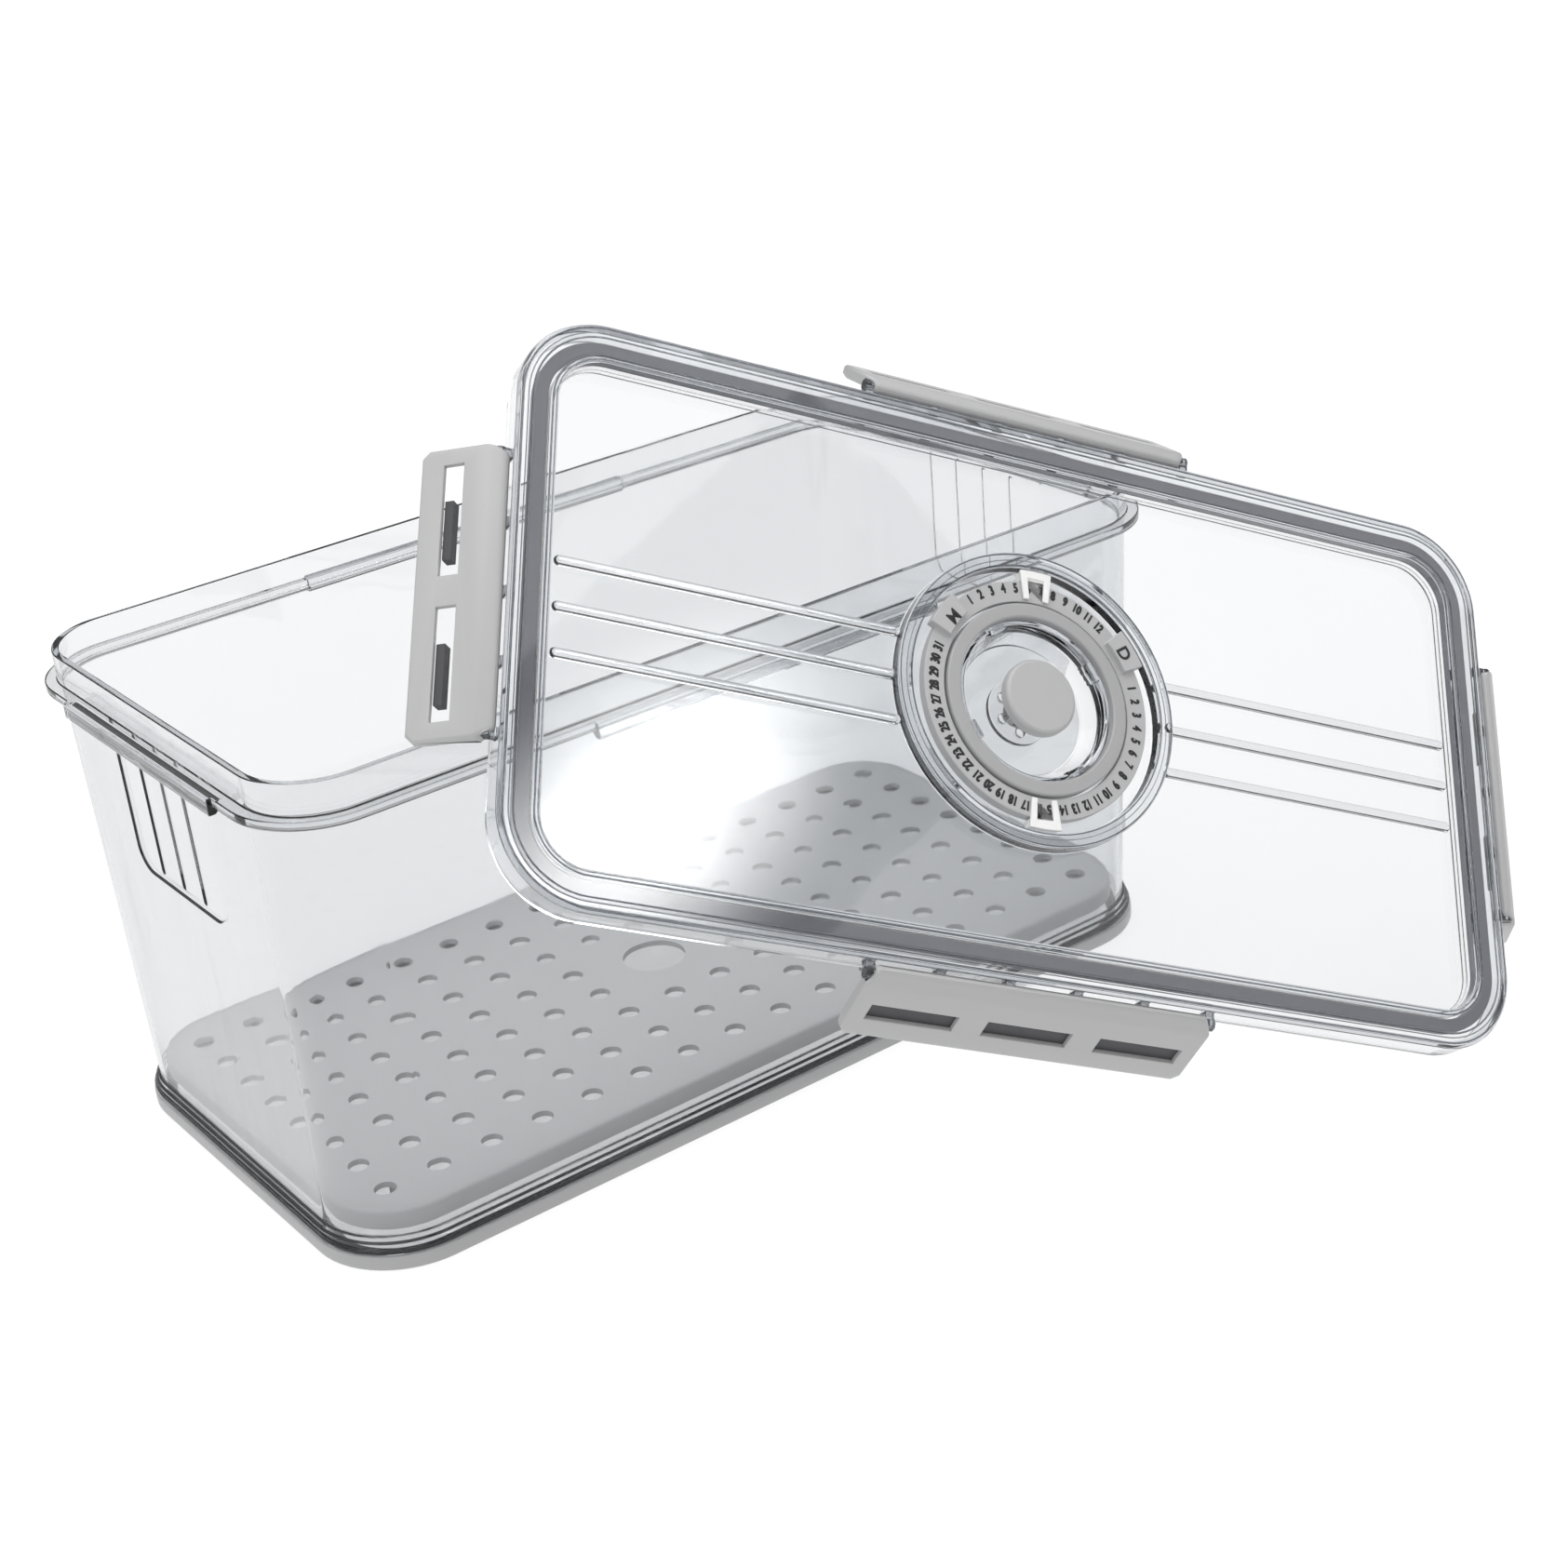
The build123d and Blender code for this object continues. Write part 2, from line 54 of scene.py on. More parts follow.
camera_place = (-0.4349, -0.7220, 0.4764)
view_right = Vector((0.79578, -0.59926, -0.08731))
view_up = Vector((0.32111, 0.29532, 0.89982))
view_back = view_right.cross(view_up).normalized()
lens = bpy.data.cameras.new("camera")
lens.lens, lens.sensor_width, lens.clip_start = 62.12, 36.0, 0.01
camera = set_out("camera", lens)
camera.matrix_world = Matrix.Translation(camera_place) @ Matrix(
    (view_right, view_up, view_back)).transposed().to_4x4()
studio.camera = camera


def connect(tree, made, links):
    """Sets or links a node's sockets; links are (socket, value or output) pairs."""
    for socket, value in links:
        if isinstance(value, bpy.types.NodeSocket):
            tree.links.new(value, made.inputs[socket])
        else:
            made.inputs[socket].default_value = value


def node(tree, kind, links=(), **settings):
    """One node with its sockets set or linked; settings are its properties."""
    made = tree.nodes.new(kind)
    for key, value in settings.items():
        setattr(made, key, value)
    connect(tree, made, links)
    return made


def ramp(tree, value, stops):
    """Colour ramp through grey (position, brightness) stops."""
    made = node(tree, "ShaderNodeValToRGB", [("Fac", value)])
    line = made.color_ramp.elements
    while len(line) < len(stops):
        line.new(0.5)
    for element, (place, grey) in zip(line, stops):
        element.position, element.color = place, (grey, grey, grey, 1.0)
    return made.outputs["Color"]


def new_finish(name):
    """Material, its node tree and its Principled shader."""
    made = bpy.data.materials.new(name)
    made.use_nodes = True
    return made, made.node_tree, made.node_tree.nodes["Principled BSDF"]


def flat_sheet(name, half_x, half_y, finish):
    """Flat rectangle about the origin, facing up."""
    mesh = bpy.data.meshes.new(name)
    mesh.from_pydata([(-half_x, -half_y, 0), (half_x, -half_y, 0),
                      (half_x, half_y, 0), (-half_x, half_y, 0)], [], [(0, 1, 2, 3)])
    mesh.materials.append(finish)
    return set_out(name, mesh)


room = bpy.data.worlds.new("room")
studio.world = room
room.use_nodes = True
sky = room.node_tree
sky.nodes.clear()
gaze = node(sky, "ShaderNodeTexCoord")
height = node(sky, "ShaderNodeSeparateXYZ", [(0, gaze.outputs["Generated"])])
belt = ramp(sky, height.outputs["Z"],
            [(0.0, 0.8), (0.03, 0.28), (0.1, 0.05), (0.26, 0.05), (0.45, 0.7), (0.62, 1.0)])
backdrop = node(sky, "ShaderNodeBackground", [("Color", belt), ("Strength", 1.0)])
node(sky, "ShaderNodeOutputWorld", [("Surface", backdrop.outputs[0])])

floor_half, floor_drop = 8, 0.0004
paper, paper_tree, paper_face = new_finish("white paper")
mottle = node(paper_tree, "ShaderNodeTexNoise", [("Scale", 3.0)])
tone = ramp(paper_tree, mottle.outputs["Fac"], [(0.3, 0.16), (0.7, 0.18)])
connect(paper_tree, paper_face, [
    ("Base Color", tone), ("Roughness", 0.9), ("Specular IOR Level", 0.1),
    ("Emission Strength", 0.88), ("Emission Color", (1, 1, 1, 1))])
floor = flat_sheet("floor", floor_half, floor_half, paper)
floor.location.z = -floor_drop


def softbox(name, place, aim, width, watts):
    """Square area lamp at a place, turned to what it lights."""
    lamp = bpy.data.lights.new(name, "AREA")
    lamp.shape, lamp.size, lamp.energy = "SQUARE", width, watts
    holder = set_out(name, lamp)
    holder.location = place
    holder.rotation_euler = (Vector(aim) - Vector(place)).to_track_quat("-Z", "Y").to_euler()


softbox("top softbox", place=(0.2, 0.3, 2.6), aim=(0, 0, 0), width=2.6, watts=30.0)
softbox("side softbox", place=(-2.2, -0.6, 1.1), aim=(0, 0, 0.1), width=1.2, watts=9.0)

lid_middle = Vector((0.052, -0.156, 0.146))
card_half_x, card_half_y, card_place = 0.36, 0.17, (0.642, -1.051, 1.098)
glow_narrowing, glow_strength = (3.7, 6.6, 1.0), 24.0
glow, glow_tree, glow_face = new_finish("soft glow")
on_card = node(glow_tree, "ShaderNodeTexCoord")
spread = node(glow_tree, "ShaderNodeMapping",
              [("Vector", on_card.outputs["Object"]), ("Scale", glow_narrowing)])
round_glow = node(glow_tree, "ShaderNodeTexGradient", [("Vector", spread.outputs[0])],
                  gradient_type="QUADRATIC_SPHERE")
strength = node(glow_tree, "ShaderNodeMath",
                [(0, round_glow.outputs["Fac"]), (1, glow_strength)], operation="MULTIPLY")
connect(glow_tree, glow_face, [
    ("Base Color", (0, 0, 0, 1)), ("Emission Color", (1, 1, 1, 1)),
    ("Emission Strength", strength.outputs[0])])
card = flat_sheet("glow card", card_half_x, card_half_y, glow)
card.location = card_place
card.rotation_euler = (lid_middle - card.location).to_track_quat("Z", "Y").to_euler()

# ---- Foot ----
# A grey ring that the box sits in, with a clear plate inside it, because the photograph shows
# white through the tray's holes. Injection-moulded in satin plastic, its edges softly rounded.


def rounded_loop(half_x, half_y, corner, z, steps=14):
    """Closed loop of points round a rounded rectangle, in metres from millimetres."""
    points = []
    for quarter, (side_x, side_y) in enumerate(((1, 1), (-1, 1), (-1, -1), (1, -1))):
        for step in range(steps + 1):
            at = math.radians(90 * (quarter + step / steps))
            points.append(((side_x * (half_x - corner) + corner * math.cos(at)) / 1000,
                           (side_y * (half_y - corner) + corner * math.sin(at)) / 1000, z / 1000))
    return points


def smooth_over(work, sharp):
    """Smooth shading, hard only over edges sharper than this many degrees."""
    for face in work.faces:
        face.smooth = True
    for edge in work.edges:
        edge.smooth = edge.calc_face_angle(0.0) < math.radians(sharp)


def shade(mesh, sharp):
    """Turns a mesh's faces outwards and smooths its shading."""
    work = bmesh.new()
    work.from_mesh(mesh)
    bmesh.ops.recalc_face_normals(work, faces=work.faces)
    smooth_over(work, sharp)
    work.to_mesh(mesh)
    work.free()


def new_piece(name, verts, faces):
    """Object from points and faces, shaded smooth."""
    mesh = bpy.data.meshes.new(name)
    mesh.from_pydata(verts, [], faces)
    mesh.validate()
    made = set_out(name, mesh)
    shade(mesh, sharp=40)
    return made


def swept(name, loops, closed):
    """Skin over equal loops; closed joins the last to the first, else both are capped."""
    count, verts, faces = len(loops[0]), [p for loop in loops for p in loop], []
    for row in range(len(loops) if closed else len(loops) - 1):
        a, b = row * count, (row + 1) % len(loops) * count
        faces += [(a + i, a + (i + 1) % count, b + (i + 1) % count, b + i) for i in range(count)]
    if not closed:
        faces += [tuple(reversed(range(count))), tuple(range(len(verts) - count, len(verts)))]
    return new_piece(name, verts, faces)


def moulded(name, half_x, half_y, corner, base, profile, closed=True):
    """Ring or capped pad round a rounded rectangle; its profile is (inset, height) points."""
    return swept(name, [rounded_loop(half_x - inset, half_y - inset, corner - inset, base + up)
                        for inset, up in profile], closed)


def moulding_marks():
    """Shader group: colour with faint clouding, roughness with scuffs, height of fine grain."""
    group = bpy.data.node_groups.new("moulding marks", "ShaderNodeTree")
    face = group.interface
    for name, kind, value in (("Colour", "NodeSocketColor", (0.5, 0.5, 0.5, 1.0)),
                              ("Clouding", "NodeSocketFloat", 0.04),
                              ("Roughness", "NodeSocketFloat", 0.4),
                              ("Scuffs", "NodeSocketFloat", 0.1),
                              ("Grain Size", "NodeSocketFloat", 2500.0)):
        face.new_socket(name, in_out="INPUT", socket_type=kind).default_value = value
    for name, kind in (("Colour", "NodeSocketColor"), ("Roughness", "NodeSocketFloat"),
                       ("Height", "NodeSocketFloat")):
        face.new_socket(name, in_out="OUTPUT", socket_type=kind)
    given = node(group, "NodeGroupInput").outputs
    where = node(group, "ShaderNodeTexCoord").outputs["Object"]
    cloud = node(group, "ShaderNodeTexNoise", [("Vector", where), ("Scale", 18.0), ("Detail", 4.0)])
    shift = node(group, "ShaderNodeMath", [(0, cloud.outputs["Fac"]), (1, 0.5)],
                 operation="SUBTRACT")
    shift = node(group, "ShaderNodeMath", [(0, shift.outputs[0]), (1, given["Clouding"])],
                 operation="MULTIPLY")
    bright = node(group, "ShaderNodeMath", [(0, shift.outputs[0]), (1, 1.0)], operation="ADD")
    tinted = node(group, "ShaderNodeVectorMath", [(0, given["Colour"]), (1, bright.outputs[0])],
                  operation="MULTIPLY")
    stretched = node(group, "ShaderNodeMapping",
                     [("Vector", where), ("Scale", (30.0, 400.0, 60.0))])
    scuff = node(group, "ShaderNodeTexNoise",
                 [("Vector", stretched.outputs[0]), ("Scale", 3.0), ("Detail", 6.0)])
    worn = ramp(group, scuff.outputs["Fac"], [(0.5, 0.0), (0.75, 1.0)])
    rough = node(group, "ShaderNodeMath",
                 [(0, worn), (1, given["Scuffs"]), (2, given["Roughness"])],
                 operation="MULTIPLY_ADD")
    grain = node(group, "ShaderNodeTexNoise",
                 [("Vector", where), ("Scale", given["Grain Size"]), ("Detail", 2.0)])
    node(group, "NodeGroupOutput", [
        ("Colour", tinted.outputs[0]), ("Roughness", rough.outputs[0]),
        ("Height", grain.outputs["Fac"])])
    return group


marks = moulding_marks()


def marked_finish(name, colour, roughness, scuffs, clouding):
    """Material whose colour and roughness carry the moulding marks, and the marks' node."""
    made, tree, body = new_finish(name)
    used = node(tree, "ShaderNodeGroup", node_tree=marks)
    connect(tree, used, [("Colour", (*colour, 1.0)), ("Roughness", roughness),
                         ("Scuffs", scuffs), ("Clouding", clouding)])
    connect(tree, body, [("Base Color", used.outputs["Colour"]),
                         ("Roughness", used.outputs["Roughness"])])
    return made, tree, body, used


def solid_plastic(name, colour, roughness, grain, coat=0.0, clouding=0.05):
    """Opaque moulded plastic or rubber."""
    made, tree, body, used = marked_finish(name, colour, roughness, scuffs=0.12, clouding=clouding)
    bump = node(tree, "ShaderNodeBump", [
        ("Height", used.outputs["Height"]), ("Strength", grain), ("Distance", 0.0002)])
    connect(tree, body, [
        ("Normal", bump.outputs[0]), ("Coat Weight", coat), ("Coat Roughness", 0.25)])
    return made


def clear_plastic(name, colour, density, ripple):
    """Clear moulded plastic: light passes, thick edges go grey, and its faces ripple a little."""
    made, tree, body, _ = marked_finish(name, colour, roughness=0.02, scuffs=0.05, clouding=0.03)
    where = node(tree, "ShaderNodeTexCoord").outputs["Object"]
    flow = node(tree, "ShaderNodeMapping", [("Vector", where), ("Scale", (34.0, 34.0, 9.0))])
    wave = node(tree, "ShaderNodeTexNoise", [
        ("Vector", flow.outputs[0]), ("Scale", 1.0), ("Detail", 1.5)])
    bump = node(tree, "ShaderNodeBump", [
        ("Height", wave.outputs["Fac"]), ("Strength", ripple), ("Distance", 0.004)])
    connect(tree, body, [("Normal", bump.outputs[0]), ("Transmission Weight", 1.0), ("IOR", 1.47)])
    path = node(tree, "ShaderNodeLightPath")
    lit = node(tree, "ShaderNodeBsdfTransparent", [("Color", (0.95, 0.955, 0.96, 1.0))])
    both = node(tree, "ShaderNodeMixShader", [
        (0, path.outputs["Is Shadow Ray"]), (1, body.outputs[0]), (2, lit.outputs[0])])
    haze = node(tree, "ShaderNodeVolumeAbsorption", [
        ("Color", (0.74, 0.755, 0.775, 1.0)), ("Density", density)])
    connect(tree, tree.nodes["Material Output"], [
        ("Surface", both.outputs[0]), ("Volume", haze.outputs[0])])
    return made


def fit(piece, body, material, slot, *nodes):
    """Gives a piece its material and its body, and hides the nodes it stands for. The slot is not
    used.
    """
    piece.data.materials.clear()
    piece.data.materials.append(material)
    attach(piece, body)
    if nodes:
        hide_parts(*nodes)


grey_satin = solid_plastic("grey satin plastic", (0.40, 0.40, 0.405), roughness=0.42, grain=0.12,
                           coat=0.1)
clear_shell = clear_plastic("clear shell plastic", (0.93, 0.935, 0.94), density=125.0, ripple=0.09)
thin_clear = clear_plastic("thin clear plastic", (0.98, 0.98, 0.98), density=20.0, ripple=0.0)

foot_x, foot_y, foot_corner, foot_width = 165.75, 86.6, 31.0, 9
foot_profile = [
    (foot_width, 0), (1.0, 0), (0.3, 0.3), (0, 1.0), (0, 4.6), (0.12, 4.88), (0.4, 5.0),
    (1.6, 5.0), (1.88, 4.88), (2.0, 4.6), (2.0, 2.3), (2.3, 2.0), (foot_width, 2.0)]
plate_profile = [(foot_width, 0.05), (foot_width, 1.95)]
foot = moulded("foot_ring", foot_x, foot_y, foot_corner, 0, foot_profile)
foot_plate = moulded("foot_plate", foot_x, foot_y, foot_corner, 0, plate_profile, closed=False)
fit(foot, "box", grey_satin, "grey_plastic", "base_foot")
fit(foot_plate, "box", thin_clear, "clear_plastic", "base_foot")

# ---- Box ----
# The deep clear tub: drafted walls, a stepped lower edge, a flange with four stretches that
# the latches hook under, and a thin lip. One clear moulding, its edges rounded only a little.


def plain_mesh(piece):
    """Mesh of a piece with all that its modifiers do."""
    seen = piece.evaluated_get(bpy.context.evaluated_depsgraph_get())
    return bpy.data.meshes.new_from_object(seen)


def make_plain(piece):
    """Puts what a piece's modifiers do into its mesh."""
    plain = plain_mesh(piece)
    piece.modifiers.clear()
    piece.data = plain


def smooth_copy(cad_node, name, edge):
    """Copy of a node's mesh, merged, its edges rounded by this width in metres."""
    sharp = 32
    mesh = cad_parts[cad_node].data.copy()
    mesh.name = name
    for extra in [a.name for a in mesh.attributes if a.name == "custom_normal"]:
        mesh.attributes.remove(mesh.attributes[extra])
    work = bmesh.new()
    work.from_mesh(mesh)
    bmesh.ops.remove_doubles(work, verts=work.verts, dist=1e-5)
    bmesh.ops.dissolve_degenerate(work, dist=1e-6, edges=work.edges)
    bmesh.ops.dissolve_limit(work, angle_limit=math.radians(0.8), verts=work.verts,
                             edges=work.edges)
    smooth_over(work, sharp)
    work.to_mesh(mesh)
    work.free()
    made = set_out(name, mesh)
    bevel = made.modifiers.new("rounded edges", "BEVEL")
    bevel.width, bevel.segments, bevel.limit_method = edge, 2, "ANGLE"
    bevel.angle_limit, bevel.use_clamp_overlap = math.radians(sharp), False
    even = made.modifiers.new("even shading", "WEIGHTED_NORMAL")
    even.keep_sharp = True
    make_plain(made)
    return made


box = smooth_copy("box_body", "box_shell", edge=0.00035)
fit(box, "box", clear_shell, "clear_plastic", "box_body")

# ---- Drain tray ----
# A grey lift-out plate with round holes in a square grid and a finger hole in the middle.
# Matt moulded plastic; its edge is turned down and it stands on four short feet.
tray_x, tray_y, tray_corner, tray_top = 158.35, 79.2, 23.6, 17.3
plate_inset, plate_thickness = 2.45, 2.0
skirt_profile = [
    (2.5, 0), (1.2, 0), (0.7, -0.12), (0.2, -0.5), (0, -1.2), (0, -6.1), (0.4, -6.5),
    (1.4, -6.5), (1.8, -6.1), (1.8, -2.5), (2.3, -2.0), (2.5, -2.0)]
leg_x, leg_y = 133.7, 53.1
leg_profile = ((3.5, 4.55), (4.0, 5.0), (4.0, tray_top - 1.5))


def end_tree(tree, geometry, merge_within, finish):
    """Ends a geometry tree: merged, realized and given its material."""
    joined = node(tree, "GeometryNodeMergeByDistance",
                  [("Geometry", geometry), ("Distance", merge_within)])
    real = node(tree, "GeometryNodeRealizeInstances", [(0, joined.outputs[0])])
    painted = node(tree, "GeometryNodeSetMaterial",
                   [("Geometry", real.outputs[0]), ("Material", finish)])
    node(tree, "NodeGroupOutput", [(0, painted.outputs[0])])


def perforated_plate():
    """Geometry tree: rounded plate with a grid of holes and one large hole."""
    tree = bpy.data.node_groups.new("perforated plate", "GeometryNodeTree")
    sizes = {"Length": 0.3, "Width": 0.15, "Corner": 0.02, "Thickness": 0.002, "Pitch X": 0.0191,
             "Pitch Y": 0.0177, "Hole": 0.0036, "Finger Hole": 0.011, "Clear Round It": 0.0166}
    face = tree.interface
    for name, value in sizes.items():
        face.new_socket(name, in_out="INPUT", socket_type="NodeSocketFloat").default_value = value
    for name, value in (("Columns", 16), ("Rows", 8)):
        face.new_socket(name, in_out="INPUT", socket_type="NodeSocketInt").default_value = value
    face.new_socket("Finish", in_out="INPUT", socket_type="NodeSocketMaterial")
    face.new_socket("Geometry", in_out="OUTPUT", socket_type="NodeSocketGeometry")
    given = node(tree, "NodeGroupInput").outputs
    edge = node(tree, "GeometryNodeCurvePrimitiveQuadrilateral",
                [("Width", given["Length"]), ("Height", given["Width"])])
    edge = node(tree, "GeometryNodeFilletCurve",
                [("Curve", edge.outputs[0]), ("Count", 14), ("Radius", given["Corner"])],
                mode="POLY")
    spans = []
    for count, pitch in (("Columns", "Pitch X"), ("Rows", "Pitch Y")):
        less = node(tree, "ShaderNodeMath", [(0, given[count]), (1, 1.0)], operation="SUBTRACT")
        spans.append(node(tree, "ShaderNodeMath", [(0, less.outputs[0]), (1, given[pitch])],
                          operation="MULTIPLY").outputs[0])
    grid = node(tree, "GeometryNodeMeshGrid",
                [("Size X", spans[0]), ("Size Y", spans[1]),
                 ("Vertices X", given["Columns"]), ("Vertices Y", given["Rows"])])
    where = node(tree, "GeometryNodeInputPosition")
    reach = node(tree, "ShaderNodeVectorMath", [(0, where.outputs[0])], operation="LENGTH")
    near = node(tree, "ShaderNodeMath",
                [(0, reach.outputs["Value"]), (1, given["Clear Round It"])],
                operation="LESS_THAN")
    kept = node(tree, "GeometryNodeDeleteGeometry",
                [("Geometry", grid.outputs[0]), ("Selection", near.outputs[0])], domain="POINT")
    spots = node(tree, "GeometryNodeMeshToPoints", [("Mesh", kept.outputs[0])])
    hole = node(tree, "GeometryNodeCurvePrimitiveCircle",
                [("Resolution", 18), ("Radius", given["Hole"])])
    holes = node(tree, "GeometryNodeInstanceOnPoints",
                 [("Points", spots.outputs[0]), ("Instance", hole.outputs[0])])
    finger = node(tree, "GeometryNodeCurvePrimitiveCircle",
                  [("Resolution", 40), ("Radius", given["Finger Hole"])])
    lines = node(tree, "GeometryNodeJoinGeometry")
    for part in (finger, holes, edge):
        tree.links.new(part.outputs[0], lines.inputs[0])
    lines = node(tree, "GeometryNodeRealizeInstances", [(0, lines.outputs[0])])
    filled = node(tree, "GeometryNodeFillCurve", [("Curve", lines.outputs[0])])
    top = node(tree, "GeometryNodeExtrudeMesh",
               [("Mesh", filled.outputs[0]), ("Offset Scale", given["Thickness"]),
                ("Individual", False)])
    under = node(tree, "GeometryNodeFlipFaces", [("Mesh", filled.outputs[0])])
    both = node(tree, "GeometryNodeJoinGeometry")
    for part in (under, top):
        tree.links.new(part.outputs[0], both.inputs[0])
    end_tree(tree, both.outputs[0], 1e-6, given["Finish"])
    return tree


def grown(name, tree, values):
    """Plain mesh object that a geometry tree makes with these inputs."""
    made = set_out(name, bpy.data.meshes.new(name))
    work = made.modifiers.new("made", "NODES")
    work.node_group = tree
    for item in tree.interface.items_tree:
        if item.item_type == "SOCKET" and item.in_out == "INPUT" and item.name in values:
            work[item.identifier] = values[item.name]
    make_plain(made)
    return made


def round_turns(count):
    """Angles of points evenly round a circle."""
    return [math.tau * step / count for step in range(count)]


def join(name, pieces):
    """One object from several, each mesh already in its place."""
    work = bmesh.new()
    for piece in pieces:
        work.from_mesh(piece.data)
    mesh = bpy.data.meshes.new(name)
    work.to_mesh(mesh)
    work.free()
    for piece in pieces:
        bpy.data.objects.remove(piece)
    return set_out(name, mesh)


matt_tray = solid_plastic("matt tray plastic", (0.47, 0.475, 0.482), roughness=0.55, grain=0.25,
                          clouding=0.06)
plate = grown("tray_plate", perforated_plate(), {
    "Length": 2 * (tray_x - plate_inset) / 1000, "Width": 2 * (tray_y - plate_inset) / 1000,
    "Corner": (tray_corner - plate_inset) / 1000, "Thickness": plate_thickness / 1000,
    "Finish": matt_tray})
plate.data.transform(Matrix.Translation((0, 0, (tray_top - plate_thickness) / 1000)))
shade(plate.data, sharp=30)
skirt = moulded("tray_skirt", tray_x, tray_y, tray_corner, tray_top, skirt_profile)
legs = []
for middle_x in (-leg_x, leg_x):
    for middle_y in (-leg_y, leg_y):
        loops = [[((middle_x + radius * math.cos(turn)) / 1000,
                   (middle_y + radius * math.sin(turn)) / 1000, up / 1000)
                  for turn in round_turns(24)] for radius, up in leg_profile]
        legs.append(swept("tray_leg", loops, closed=False))
tray = join("tray", [plate, skirt] + legs)
fit(tray, "tray", matt_tray, "tray_plastic", "drain_tray")

# ---- Lid ----
# Clear moulding: a raised frame with a skirt, a recessed panel with ribs and the dial's ring,
# and a rod on lugs along each side for the latches to snap on. Thin dense beads along the frame
# are painted shade: they stand for the dark lines that its steps show in the thick plastic.
lid_axes = Matrix((Vector((0.8693, -0.2953, -0.3963)), Vector((0.4941, 0.5396, 0.6817)),
                   Vector((0.0126, -0.7884, 0.6150)))).transposed().to_4x4()
lid_place = Matrix.Translation(lid_middle) @ lid_axes
lid_x, lid_y, lid_corner, panel_face = 169.5, 90.3, 27.3, -5.5
bead_sizes = ((1.5, 0.3), (3.2, 0.2), (4.6, 0.3), (10.6, 0.28), (11.7, 0.2))
rib_start, rib_end, rib_half, rib_pitch = 46.2, 154.6, 1.6, 0.0142
rib_profile = [(0, -0.1), (0.05, 0.5), (0.25, 0.95), (0.6, 1.25), (1.1, 1.4)]
clear_lid = clear_plastic("clear lid plastic", (0.965, 0.97, 0.975), density=120.0, ripple=0.015)
# Near-black dense clear plastic for the beads: painted shade drawn as dark lines.
painted_line_clear = clear_plastic("painted dark line plastic", (0.9, 0.905, 0.91), density=9000.0, ripple=0.0)
lid = smooth_copy("lid_panel", "lid_shell", edge=0.0003)
fit(lid, "lid", clear_lid, "clear_plastic", "lid_panel")


def bead(name, half_x, half_y, corner, z, half_width, half_depth, points, steps=14):
    """Thin closed bead that follows a rounded rectangle."""
    loops = []
    for turn in round_turns(points):
        out = half_width * math.cos(turn)
        loops.append(rounded_loop(half_x + out, half_y + out, corner + out,
                                  z + half_depth * math.sin(turn), steps))
    return swept(name, loops, closed=True)


lid_line_beads = [bead("lid_bead", lid_x - inset, lid_y - inset, lid_corner - inset, 0,
                  half_width, 0.75 * half_width, points=10) for inset, half_width in bead_sizes]
ribs = []
for side in (-1, 1):
    for row in (-1, 0, 1):
        rib = moulded("lid_rib", (rib_end - rib_start) / 2, rib_half, rib_half - 0.01,
                      panel_face, rib_profile, closed=False)
        rib.data.transform(Matrix.Translation(
            (side * (rib_start + rib_end) / 2000, row * rib_pitch, 0)))
        ribs.append(rib)
for name, pieces, finish in (("lid_painted_line_beads", lid_line_beads, painted_line_clear), ("lid_ribs", ribs, clear_lid)):
    lines = join(name, pieces)
    shade(lines.data, sharp=40)
    lines.data.transform(lid_place)
    fit(lines, "lid", finish, "clear_plastic")

# ---- Seal ----
# Soft grey ring pressed into the channel under the frame; it shows through the clear plastic.
# Moulded in silicone, with two lips below that close on the box's edge.
soft_grey = solid_plastic("grey silicone", (0.23, 0.23, 0.25), roughness=0.6, grain=0.1,
                          clouding=0.08)
seal_profile = [
    (5.9, -2.45), (9.2, -2.45), (9.6, -2.8), (9.6, -6.0), (9.1, -6.4), (8.3, -6.4),
    (8.1, -4.9), (6.9, -4.9), (6.7, -6.4), (5.9, -6.4), (5.5, -6.0), (5.5, -2.8)]
seal = moulded("seal", lid_x, lid_y, lid_corner, 0, seal_profile)
seal.data.transform(lid_place)
fit(seal, "lid", soft_grey, "grey_silicone", "lid_seal")

# ---- Latches ----
# Four satin grey mouldings that swing on the lid's rods: clips, a sloping band, a flat face with
# windows and closed ends. Near-black hook bars inside are painted shade behind the windows; on the
# front latch they fill the windows and are painted shade only. Sizes are millimetres out and up
# from the rod's middle, for a latch that hangs straight down. The rods are drawn again here, in
# dense
# dark plastic: partly their own look through the clear lid, partly painted shade in the hinge gap.
latch_grey = solid_plastic("latch plastic", (0.44, 0.44, 0.443), roughness=0.36, grain=0.1,
                           coat=0.15, clouding=0.04)
# Near-black for the hook bars: painted shade behind the windows.
painted_shade_hook = solid_plastic("painted shade hook plastic", (0.06, 0.06, 0.065), roughness=0.5, grain=0.05)
# Dense dark rod plastic: partly the rods' own look, partly painted shade in the hinge gap.
rod_shade_clear = clear_plastic("rod plastic darkened as shade", (0.9, 0.905, 0.91), density=900.0, ripple=0.0)
rod_out, rod_down, rod_radius, rod_past_lugs = 3.4, 3.2, 1.53, 1.5
lug_back, lug_front, lug_low, lug_high, lug_half = -3.5, -0.6, -1.0, 1.2, 1.55
face_out, crease_down, free_down, skin = 3.25, 1.6, 22.6, 1.6
back_edge = [(0.3, -free_down), (0.3, -19.8), (-0.6, -16.5)]
wrap, wrap_from, wrap_to = 2.7, 257, 60
bore, mouth, mouth_from, mouth_to = 1.6, 4.5, 125, 215
notch_radius, notch_half = 2.13, 1.9
hollow_top, hollow_back, band_top, band_taper, corner_cut = -3.4, -6, 4, 3.4, 2.2
